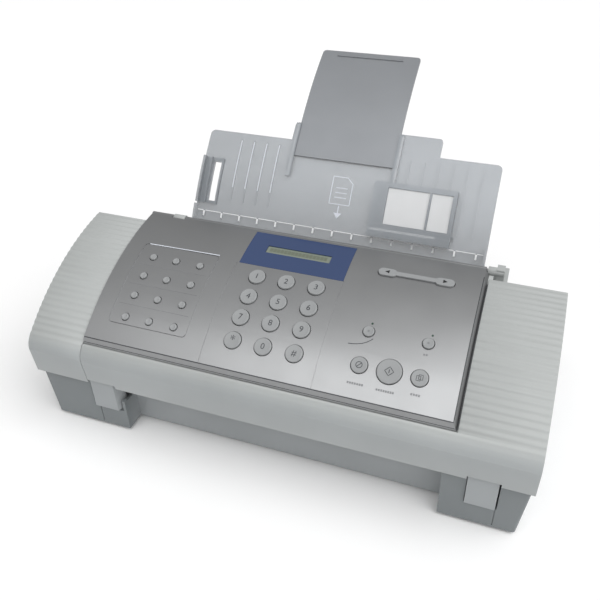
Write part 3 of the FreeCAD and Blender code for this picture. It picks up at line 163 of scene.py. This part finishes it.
def make_materials():
    """One material for each slot of the record, and a few for printed marks, painted highlights and
    painted shade.
    """
    plastic = {"relief": MOULDED_RELIEF, "grain": 1500}
    # Painted shade: the cover is darker on its front face and passes into its lighter top tone between 0.5
    # mm and 6 mm back from the front.
    cover_shade_span = (FRONT_Y + 0.5 * MM, FRONT_Y + 6 * MM)
    base_span = (FRONT_Y + 8 * MM, FRONT_Y + 22 * MM)
    silver = {"metallic": 0.85, "rough_spread": 0.06, "grain": 2600, "spread": 0.03}
    clear = {"alpha": 0.6, "metallic": 0.3, "relief": SMOOTH_RELIEF}
    smoked = {"alpha": 0.88, "metallic": 0.35, "relief": SMOOTH_RELIEF}
    return {
        # Cover: the darker first colour on the front face is painted shade; the deep colour is its top
        # tone.
        "cover_plastic": Surface(
            "cover plastic", srgb(164, 168, 169), MATT, **plastic,
            deep_color=srgb(174, 177, 176), deep_span=cover_shade_span),
        "base_plastic": Surface(
            "base plastic", srgb(126, 131, 133), 0.55, **plastic,
            deep_color=srgb(163, 167, 169), deep_span=base_span),
        "latch_plastic": Surface("latch plastic", srgb(160, 164, 166), MATT, **plastic),
        "silver_panel": Surface(
            "silver paint", srgb(160, 161, 162), 0.35, **silver, relief=SMOOTH_RELIEF),
        "blue_lens": Surface(
            "blue lens", srgb(50, 68, 106), GLOSSY, coat=0.5, relief=POLISHED_RELIEF),
        "key_plastic": Surface("key plastic", srgb(150, 152, 153), 0.4, relief=SMOOTH_RELIEF),
        "clear_plastic": Surface("clear plastic", srgb(158, 163, 168), SATIN, **clear),
        "smoked_plastic": Surface("smoked plastic", srgb(146, 149, 153), SATIN, **smoked),
        "dark_plastic": Surface("dark plastic", srgb(52, 53, 55), MATT),
        "cartridge_plastic": Surface("cartridge plastic", srgb(40, 41, 44), SATIN),
        "foot_rubber": Surface("foot rubber", srgb(40, 40, 41), 0.8),
        "belt_rubber": Surface("belt rubber", srgb(32, 32, 33), 0.7),
        "roller_rubber": Surface("roller rubber", srgb(70, 70, 72), 0.75),
        "gear_plastic": Surface("gear plastic", srgb(222, 220, 212), 0.45),
        "rail_steel": Surface("rail steel", srgb(190, 190, 190), GLOSSY, metallic=1.0),
        "frame_steel": Surface("frame steel", srgb(165, 167, 168), 0.4, metallic=1.0),
        "motor_steel": Surface("motor steel", srgb(130, 131, 133), 0.4, metallic=0.9),
        "board_green": Surface("board green", srgb(40, 96, 62), 0.4),
        "guide_film": Surface(
            "guide film", srgb(238, 239, 240), SATIN, alpha=0.55, relief=POLISHED_RELIEF),
        # Painted highlight: near-white plastic for the glints along the step and the tooth tips of the
        # paper support.
        "painted_highlight": Surface(
            "painted highlight on plastic edges", srgb(246, 247, 248), SATIN, relief=POLISHED_RELIEF),
        # Painted shade: dark colour for the shaded groove and gap round the panel.
        "seam_shade": Surface("painted shade in panel seams", srgb(62, 64, 67), MATT, spread=0.1),
        "ink": Surface("printed ink", srgb(70, 72, 76), 0.6, spread=0.1),
        "faint_ink": Surface("faint printed ink", srgb(128, 129, 131), 0.6, spread=0.1),
        # Light ink prints the support symbol and also draws painted highlights on the rib tops and the
        # label rim.
        "light_ink_and_highlight": Surface("light printed ink and painted highlight", srgb(214, 218, 226), MATT),
        "black_ink": Surface("black printed ink", srgb(28, 28, 30), MATT, spread=0.1),
        "lcd": Surface("display glass", srgb(124, 132, 120), 0.15, coat=0.8, relief=GLASS_RELIEF),
        "lcd_cell": Surface("display cells", srgb(104, 110, 96), SATIN),
        "lamp_green": Surface("lamp lens", srgb(46, 70, 58), GLOSSY, coat=0.8),
    }


MATERIALS = make_materials()


def paint(obj, slot_name):
    """Give an object one of the materials."""
    obj.data.materials.clear()
    obj.data.materials.append(MATERIALS[slot_name].material)


def soften(obj, width):
    """Small rounded edges on a CAD mesh, without changing the mesh itself."""
    weld = obj.modifiers.new("weld", "WELD")
    weld.merge_threshold = 0.002 * MM
    bevel = obj.modifiers.new("edges", "BEVEL")
    bevel.width = width
    bevel.segments = 2
    bevel.limit_method = "ANGLE"
    bevel.angle_limit = math.radians(40)
    bevel.harden_normals = True
    bevel.use_clamp_overlap = True


ROUNDED_SLOTS = ("cover_plastic", "base_plastic")
EDGE_WIDTH = 0.5
for node_name, node_object in NODES.items():
    paint(node_object, SLOT_OF[node_name])
    if SLOT_OF[node_name] in ROUNDED_SLOTS:
        soften(node_object, EDGE_WIDTH * MM)


# --- Places on the object ---------------------------------------------------------
def place_at(x, y, z):
    """Row-frame point from millimetres, with y from the front face."""
    return Vector((x * MM, FRONT_Y + y * MM, z * MM))


def panel_angle(y, height=0.0):
    """Slope of the panel at plan depth y, in radians."""
    return math.asin((PANEL_CENTRE_Y - y) / (PANEL_RADIUS + height))


def panel_point(x, y, height=0.0):
    """Point over the panel at plan position x, y."""
    angle = panel_angle(y)
    reach = PANEL_RADIUS + height
    return place_at(x, PANEL_CENTRE_Y - reach * math.sin(angle), PANEL_CENTRE_Z + reach * math.cos(angle))


def support_place(x, t, height=0.0):
    """Point over the paper support at a distance t up its curve."""
    angle = math.radians(SUPPORT_SLOPE) - t / SUPPORT_RADIUS
    reach = SUPPORT_RADIUS + height
    y = SUPPORT_CENTRE_Y - reach * math.sin(angle)
    return place_at(x, y, SUPPORT_CENTRE_Z + reach * math.cos(angle))


def mesh_object(name, vertices, faces, slot_name, body):
    """New piece from vertices in the row frame."""
    mesh = bpy.data.meshes.new(name)
    mesh.from_pydata([tuple(v) for v in vertices], [], faces)
    mesh.validate()
    mesh.update()
    obj = bpy.data.objects.new(name, mesh)
    bpy.context.collection.objects.link(obj)
    paint(obj, slot_name)
    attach(obj, body)
    return obj


def sampled(path, closed, step=2.0):
    """Points along a path at no more than a step apart."""
    points = []
    pairs = list(zip(path, path[1:] + path[:1])) if closed else list(zip(path, path[1:]))
    for (x0, y0), (x1, y1) in pairs:
        count = max(1, math.ceil(math.hypot(x1 - x0, y1 - y0) / step))
        points += [(x0 + (x1 - x0) * i / count, y0 + (y1 - y0) * i / count) for i in range(count)]
    if not closed:
        points.append(path[-1])
    return points


def ribbon(name, path, width, heights, place, slot_name, body, closed=False):
    """Thin raised line that follows a path on a curved surface."""
    points = sampled(path, closed)
    count = len(points)
    vertices = []
    for i, (x, y) in enumerate(points):
        ahead = points[(i + 1) % count] if closed or i < count - 1 else points[i]
        behind = points[i - 1] if closed or i > 0 else points[i]
        dx, dy = ahead[0] - behind[0], ahead[1] - behind[1]
        length = math.hypot(dx, dy)
        side_x, side_y = -dy / length * width / 2, dx / length * width / 2
        for sign, height in ((1, heights[0]), (1, heights[1]), (-1, heights[1]), (-1, heights[0])):
            vertices.append(place(x + sign * side_x, y + sign * side_y, height))
    faces = []
    for i in range(count if closed else count - 1):
        a, b = 4 * i, 4 * ((i + 1) % count)
        faces += [(a + k, a + (k + 1) % 4, b + (k + 1) % 4, b + k) for k in range(4)]
    if not closed:
        last = 4 * (count - 1)
        faces += [(3, 2, 1, 0), (last, last + 1, last + 2, last + 3)]
    return mesh_object(name, vertices, faces, slot_name, body)


def plate(name, outline, heights, place, slot_name, body):
    """Thin raised patch with a convex outline on a surface."""
    count = len(outline)
    vertices = [place(x, y, heights[0]) for x, y in outline]
    vertices += [place(x, y, heights[1]) for x, y in outline]
    faces = [tuple(reversed(range(count))), tuple(range(count, 2 * count))]
    faces += [(i, (i + 1) % count, count + (i + 1) % count, count + i) for i in range(count)]
    return mesh_object(name, vertices, faces, slot_name, body)


def arc_points(centre, radius, start, end, count):
    """Points of a circular arc, in degrees."""
    points = []
    for i in range(count + 1):
        angle = math.radians(start + (end - start) * i / count)
        points.append((centre[0] + radius * math.cos(angle), centre[1] + radius * math.sin(angle)))
    return points


# --- Marks on the keys --------------------------------------------------------------
KEY_RISE = 1.5
KEY_ROWS = (77.0, 59.6, 43.5, 27.6)
DIAL_COLUMNS = (-28.5, -4.7, 19.2)
DIAL_NAMES = "1 2 3 4 5 6 7 8 9 star 0 hash".split()
DIAL_SIGNS = "1 2 3 4 5 6 7 8 9 * 0 #".split()
DIGIT_SIZE = 6.6
STAR_SIZE = 9.0
FUNCTION_KEYS = {
    "stop_key": (66.5, 29.3),
    "start_key": (87.8, 29.3),
    "copy_key": (108.7, 29.3),
    "resolution_key": (66.8, 51.8),
    "receive_mode_key": (109.2, 51.8),
}

# The tops of the keys are dished, so their marks lie below the rim.
LEGEND_MIDDLE = -0.24
LEGEND_HALF = 0.11
LEGEND_HEIGHTS = (LEGEND_MIDDLE - LEGEND_HALF, LEGEND_MIDDLE + LEGEND_HALF)
STROKE = 0.5


def on_key(x, y):
    """Placing function for marks on a flat key top."""
    angle = panel_angle(y)
    origin = panel_point(x, y, KEY_RISE)
    along = Vector((0, math.cos(angle), math.sin(angle)))
    up = Vector((0, -math.sin(angle), math.cos(angle)))

    def place(u, v, height=0.0):
        return origin + Vector((u * MM, 0, 0)) + along * (v * MM) + up * (height * MM)

    return place


def sign_mesh(name, sign):
    """Solid mesh of one character."""
    curve = bpy.data.curves.new(f"digit_{name}", "FONT")
    curve.body = sign
    curve.size = STAR_SIZE if sign == "*" else DIGIT_SIZE
    curve.align_x = "CENTER"
    curve.align_y = "CENTER"
    curve.extrude = LEGEND_HALF
    curve.resolution_u = 3
    text = bpy.data.objects.new(f"text_{name}", curve)
    bpy.context.collection.objects.link(text)
    bpy.context.view_layer.update()
    mesh = bpy.data.meshes.new_from_object(text.evaluated_get(bpy.context.evaluated_depsgraph_get()))
    bpy.data.objects.remove(text)
    return mesh


def dial_legends():
    """Digit on each dial key."""
    for number, (name, sign) in enumerate(zip(DIAL_NAMES, DIAL_SIGNS)):
        mesh = sign_mesh(name, sign)
        place = on_key(DIAL_COLUMNS[number % 3], KEY_ROWS[number // 3])
        for vertex in mesh.vertices:
            vertex.co = place(vertex.co.x, vertex.co.y, vertex.co.z + LEGEND_MIDDLE)
        obj = bpy.data.objects.new(f"legend_{name}", mesh)
        bpy.context.collection.objects.link(obj)
        paint(obj, "ink")
        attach(obj, f"dial_key_{name}")


def start_symbol():
    """Diamond with a short bar."""
    place = on_key(*FUNCTION_KEYS["start_key"])
    reach = 3.2
    diamond = [(-reach, 0), (0, -reach), (reach, 0), (0, reach)]
    ribbon("start_diamond", diamond, STROKE, LEGEND_HEIGHTS, place, "ink", "start_key", closed=True)
    ribbon("start_bar", [(0, -1.3), (0, 1.3)], 0.55, LEGEND_HEIGHTS, place, "ink", "start_key")


def stop_symbol():
    """Ring with a diagonal stroke."""
    place = on_key(*FUNCTION_KEYS["stop_key"])
    ring = arc_points((0, 0), 2.2, 0, 345, 23)
    ribbon("stop_ring", ring, STROKE, LEGEND_HEIGHTS, place, "ink", "stop_key", closed=True)
    ribbon("stop_stroke", [(-1.4, -1.4), (1.4, 1.4)], STROKE, LEGEND_HEIGHTS, place, "ink", "stop_key")


def copy_symbol():
    """Two overlapping sheets."""
    place = on_key(*FUNCTION_KEYS["copy_key"])
    half_width, half_height = 1.4, 1.7
    for number, x in enumerate((-0.7, 0.8)):
        y = x * 0.6
        page = [(x - half_width, y - half_height), (x + half_width, y - half_height),
                (x + half_width, y + half_height), (x - half_width, y + half_height)]
        ribbon(f"copy_page_{number}", page, 0.4, LEGEND_HEIGHTS, place, "ink", "copy_key", closed=True)


def small_key_dots():
    """Faint dot on the two small function keys."""
    for key in ("resolution_key", "receive_mode_key"):
        dot = arc_points((0, 0), 0.8, 0, 330, 11)
        plate(f"{key}_dot", dot, LEGEND_HEIGHTS, on_key(*FUNCTION_KEYS[key]), "faint_ink", key)


ROCKER_CENTRE = (88.3, 103.5)
ROCKER_REACH = 21.4


def rocker_arrows():
    """Arrow heads on the two pads of the rocker."""
    place = on_key(*ROCKER_CENTRE)
    for side, name in ((-1, "left"), (1, "right")):
        x = side * ROCKER_REACH
        arrow = [(x + side * 2.0, 0), (x - side * 1.3, side * 1.7), (x - side * 1.3, -side * 1.7)]
        plate(f"arrow_{name}", arrow, (-0.1, 0.06), place, "black_ink", "scroll_rocker")


# --- Marks on the panel -------------------------------------------------------------
# Heights are the lower and upper faces of a mark over the panel.
PRINT_HEIGHTS = (-0.15, 0.05)
LAMPS = ((67.8, 57.9), (110.7, 57.9))
LAMP_RADIUS = 0.8
SWOOSH = [(54.7, 41.4), (58.0, 41.6), (61.2, 42.2), (64.5, 43.1), (67.6, 44.6), (69.8, 46.2), (71.1, 47.5)]

# Captions: middle of the row in x and y, and its length.
CAPTIONS = ((66.9, 18.4, 12), (88.0, 17.9, 13), (108.4, 19.6, 7), (109.2, 44.2, 3.5))
CAPTION_DASH = 1.7
CAPTION_FILL = 0.7
CAPTION_WIDTH = 1.2

DISPLAY_X = (-31.9, 20.9)
DISPLAY_Y = (103.1, 110.9)
GLASS_HEIGHTS = (-1.15, -0.75)
CELL_COUNT = 16
CELL_PITCH = 3.0
CELL_WIDTH = 2.3
CELL_MARGIN = 2.4
CELL_Y = (105.0, 109.0)
CELL_HEIGHTS = (-0.76, -0.72)

# Back rim of the label field, drawn in light ink as a painted highlight.
LABEL_RIM = [(-128.0, 89.6), (-66.0, 90.6)]
LABEL_X = (-128.5, -68.5)
LABEL_RULES_Y = (69.4, 52.4, 36.4)

# Front and right rims of the panel: the crest of the bevel and its foot.
RIM_LEFT_X = -146.4
CREST_FRONT_Y, CREST_RIGHT_X, CREST_BACK_Y = 10.0, 136.1, 117.0
FOOT_FRONT_Y, FOOT_RIGHT_X, FOOT_BACK_Y = 7.3, 139.4, 112.0
RIM_LINE = 0.6


def lamps():
    """Small lamp lenses behind the two upper function keys."""
    for number, centre in enumerate(LAMPS):
        lamp = arc_points(centre, LAMP_RADIUS, 0, 345, 23)
        plate(f"lamp_{number}", lamp, (-0.3, 0.15), panel_point, "lamp_green", "cover")


def caption_bars():
    """Rows of short bars in place of the captions."""
    for number, (x, y, length) in enumerate(CAPTIONS):
        count = max(2, round(length / CAPTION_DASH))
        for i in range(count):
            left = x - length / 2 + i * length / count
            bar = [(left, y), (left + CAPTION_FILL * length / count, y)]
            name = f"caption_{number}_{i}"
            ribbon(name, bar, CAPTION_WIDTH, PRINT_HEIGHTS, panel_point, "faint_ink", "cover")


def display_parts():
    """Display glass with its dark character cells behind the lens window."""
    low_x, high_x = DISPLAY_X
    low_y, high_y = DISPLAY_Y
    steps = 5
    edge = [(low_x, low_y), (high_x, low_y)]
    edge += [(high_x, low_y + (high_y - low_y) * i / steps) for i in range(1, steps + 1)]
    edge += [(low_x, high_y - (high_y - low_y) * i / steps) for i in range(0, steps)]
    plate("display_glass", edge, GLASS_HEIGHTS, panel_point, "lcd", "cover")
    front, back = CELL_Y
    for number in range(CELL_COUNT):
        x = low_x + CELL_MARGIN + number * CELL_PITCH
        cell = [(x, front), (x + CELL_WIDTH, front), (x + CELL_WIDTH, back), (x, back)]
        plate(f"display_cell_{number:02d}", cell, CELL_HEIGHTS, panel_point, "lcd_cell", "cover")


def label_rows():
    """Painted highlight along the back rim of the label field round the one-touch keys, and the field's
    faint rules.
    """
    ribbon("label_rim_highlight", LABEL_RIM, 0.7, (-0.1, 0.25), panel_point, "light_ink_and_highlight", "cover")
    for number, y in enumerate(LABEL_RULES_Y):
        rule = [(LABEL_X[0], y), (LABEL_X[1], y)]
        ribbon(f"label_rule_{number}", rule, 0.35, (-0.1, 0.08), panel_point, "faint_ink", "cover")


def panel_shade_lines():
    """Painted shade: dark lines along the front and right rims of the panel, at the crest of the bevel and
    in the gap at its foot.
    """
    crest = [(RIM_LEFT_X, CREST_FRONT_Y), (CREST_RIGHT_X, CREST_FRONT_Y), (CREST_RIGHT_X, CREST_BACK_Y)]
    ribbon("rim_crest_shade", crest, RIM_LINE, (-0.1, 0.06), panel_point, "seam_shade", "cover")
    foot = [(RIM_LEFT_X, FOOT_FRONT_Y), (FOOT_RIGHT_X, FOOT_FRONT_Y), (FOOT_RIGHT_X, FOOT_BACK_Y)]
    ribbon("rim_foot_shade", foot, RIM_LINE, (-3.4, -1.85), panel_point, "seam_shade", "cover")


# --- Marks on the paper support ------------------------------------------------------
# Places are x across the support and t up its curve.
STEP_X = (-111.0, 131.5)
STEP_T = 3.2
TOOTH_COUNT = 15
TOOTH_PITCH = 16.5
TOOTH_FIRST_X = -105.4
TOOTH_WIDTH = 1.4
TOOTH_T = (-1.4, 2.8)
RIBS_X = (-82.6, -71.2, -59.8, -48.4)
RIB_T = (26.0, 67.0)

FILM_WINDOWS_X = ((51.7, 84.3), (86.2, 102.2))
FILM_T = (14.7, 42.8)
FILM_HEIGHTS = (7.0, 7.3)
FILM_STEP = 4.0

SYMBOL_HEIGHTS = (0.0, 0.06)
SYMBOL_STROKE = 0.7
SYMBOL_SHEET = [(3.5, 25.0), (20.5, 25.0), (20.5, 43.0), (15.5, 47.5), (3.5, 47.5)]
SYMBOL_LINES_T = (30.5, 34.5, 38.5)
SYMBOL_SHAFT = [(12, 24), (12, 17.5)]
SYMBOL_HEAD = [(12, 13.5), (15.4, 18.0), (8.6, 18.0)]


def support_symbol():
    """Printed loading symbol on the paper support: a sheet with a downward arrow."""
    print_on = (SYMBOL_HEIGHTS, support_place, "light_ink_and_highlight", "base")
    ribbon("symbol_sheet", SYMBOL_SHEET, SYMBOL_STROKE, *print_on, closed=True)
    for number, t in enumerate(SYMBOL_LINES_T):
        ribbon(f"symbol_line_{number}", [(7, t), (17, t)], SYMBOL_STROKE, *print_on)
    ribbon("symbol_arrow_shaft", SYMBOL_SHAFT, 0.9, *print_on)
    plate("symbol_arrow_head", SYMBOL_HEAD, *print_on)


def support_highlights():
    """Painted highlights: bright lines on the edge of the step and on the tips of its teeth, and pale
    lines on the tops of the left ribs.
    """
    step = [(STEP_X[0], STEP_T), (STEP_X[1], STEP_T)]
    ribbon("step_highlight", step, 0.5, (0.75, 0.86), support_place, "painted_highlight", "base")
    low, high = TOOTH_T
    for number in range(TOOTH_COUNT):
        x = TOOTH_FIRST_X + TOOTH_PITCH * number
        tip = [(x, low), (x + TOOTH_WIDTH, low), (x + TOOTH_WIDTH, high), (x, high)]
        plate(f"tooth_highlight_{number:02d}", tip, (1.5, 1.7), support_place, "painted_highlight", "base")
    # Painted highlight: pale lines in light ink along the tops of the left ribs.
    for number, x in enumerate(RIBS_X):
        rib = [(x, RIB_T[0]), (x, RIB_T[1])]
        ribbon(f"rib_highlight_{number}", rib, 0.8, (0.85, 0.98), support_place, "light_ink_and_highlight", "base")


def guide_windows():
    """Pale film in the two windows of the sliding paper guide."""
    for number, (left, right) in enumerate(FILM_WINDOWS_X):
        ribs = sampled([(left, FILM_T[0]), (left, FILM_T[1])], False, FILM_STEP)
        vertices, faces = [], []
        for _, t in ribs:
            for x in (left, right):
                vertices += [support_place(x, t, height) for height in FILM_HEIGHTS]
        for i in range(len(ribs) - 1):
            a, b = 4 * i, 4 * (i + 1)
            faces += [(a, a + 2, b + 2, b), (a + 1, b + 1, b + 3, a + 3), (a, b, b + 1, a + 1),
                      (a + 2, a + 3, b + 3, b + 2)]
        last = 4 * (len(ribs) - 1)
        faces += [(0, 1, 3, 2), (last, last + 2, last + 3, last + 1)]
        mesh_object(f"guide_film_{number}", vertices, faces, "guide_film", BODY_OF["right_paper_guide"])


dial_legends()
start_symbol()
stop_symbol()
copy_symbol()
small_key_dots()
lamps()
ribbon("swoosh", SWOOSH, STROKE, PRINT_HEIGHTS, panel_point, "ink", "cover")
caption_bars()
rocker_arrows()
display_parts()
label_rows()
panel_shade_lines()
support_symbol()
support_highlights()
guide_windows()


# --- Stage, lights and camera --------------------------------------------------------
FLOOR_SIZE = 12

# Brightness of the surroundings by height: 0 is straight down, 0.5 the horizon and 1 overhead.
WORLD_LIGHT = ((0.01, 1.04), (0.49, 1.04), (0.52, 0.2), (0.75, 0.3), (0.89, 0.42), (0.99, 0.58))

CAMERA_PLACE = (156.2, -316.2, 423.6)
CAMERA_TURN = (55.35, 0.983, 19.394)


def stage_floor():
    """Pale floor plane."""
    bpy.ops.mesh.primitive_plane_add(size=FLOOR_SIZE, location=(0, 0, 0))
    floor = bpy.context.object
    floor.name = "floor"
    surface = Surface("floor", srgb(250, 250, 250), 0.75, spread=0.005, relief=SMOOTH_RELIEF)
    floor.data.materials.append(surface.material)


def sun_light(name, direction, spread, power):
    """Wide, soft light from a direction; the spread is its angular size in degrees."""
    data = bpy.data.lights.new(name, "SUN")
    data.angle = math.radians(spread)
    data.energy = power
    lamp = bpy.data.objects.new(name, data)
    bpy.context.collection.objects.link(lamp)
    lamp.location = Vector(direction) * 2
    lamp.rotation_euler = Vector(direction).to_track_quat("Z", "Y").to_euler()


def stage_world():
    """Pale surroundings: white below the horizon, dim above it and brighter overhead."""
    world = bpy.data.worlds.new("studio")
    bpy.context.scene.world = world
    world.use_nodes = True
    nodes, links = world.node_tree.nodes, world.node_tree.links
    split = nodes.new("ShaderNodeSeparateXYZ")
    links.new(nodes.new("ShaderNodeTexCoord").outputs["Generated"], split.inputs["Vector"])
    height = nodes.new("ShaderNodeMapRange")
    height.inputs["From Min"].default_value = -1.0
    links.new(split.outputs["Z"], height.inputs["Value"])
    ramp = nodes.new("ShaderNodeValToRGB")
    for level, light in WORLD_LIGHT:
        stop = ramp.color_ramp.elements.new(level)
        stop.color = (light, light, light, 1)
    links.new(height.outputs["Result"], ramp.inputs["Fac"])
    links.new(ramp.outputs["Color"], nodes["Background"].inputs["Color"])
    nodes["Background"].inputs["Strength"].default_value = 1.0


def stage_camera():
    """Camera above the front right corner."""
    data = bpy.data.cameras.new("camera")
    data.lens = 41.17
    data.shift_x = -0.0127
    data.shift_y = -0.035
    data.clip_start = 0.01
    camera = bpy.data.objects.new("camera", data)
    bpy.context.collection.objects.link(camera)
    camera.location = place_at(*CAMERA_PLACE)
    camera.rotation_euler = Euler([math.radians(a) for a in CAMERA_TURN])
    bpy.context.scene.camera = camera
    bpy.context.scene.view_settings.view_transform = "Standard"


stage_floor()
stage_world()
stage_camera()
sun_light("key", (0.55, -0.12, 0.83), 60, 2.0)
sun_light("front", (-0.13, -0.52, 0.84), 38, 0.62)
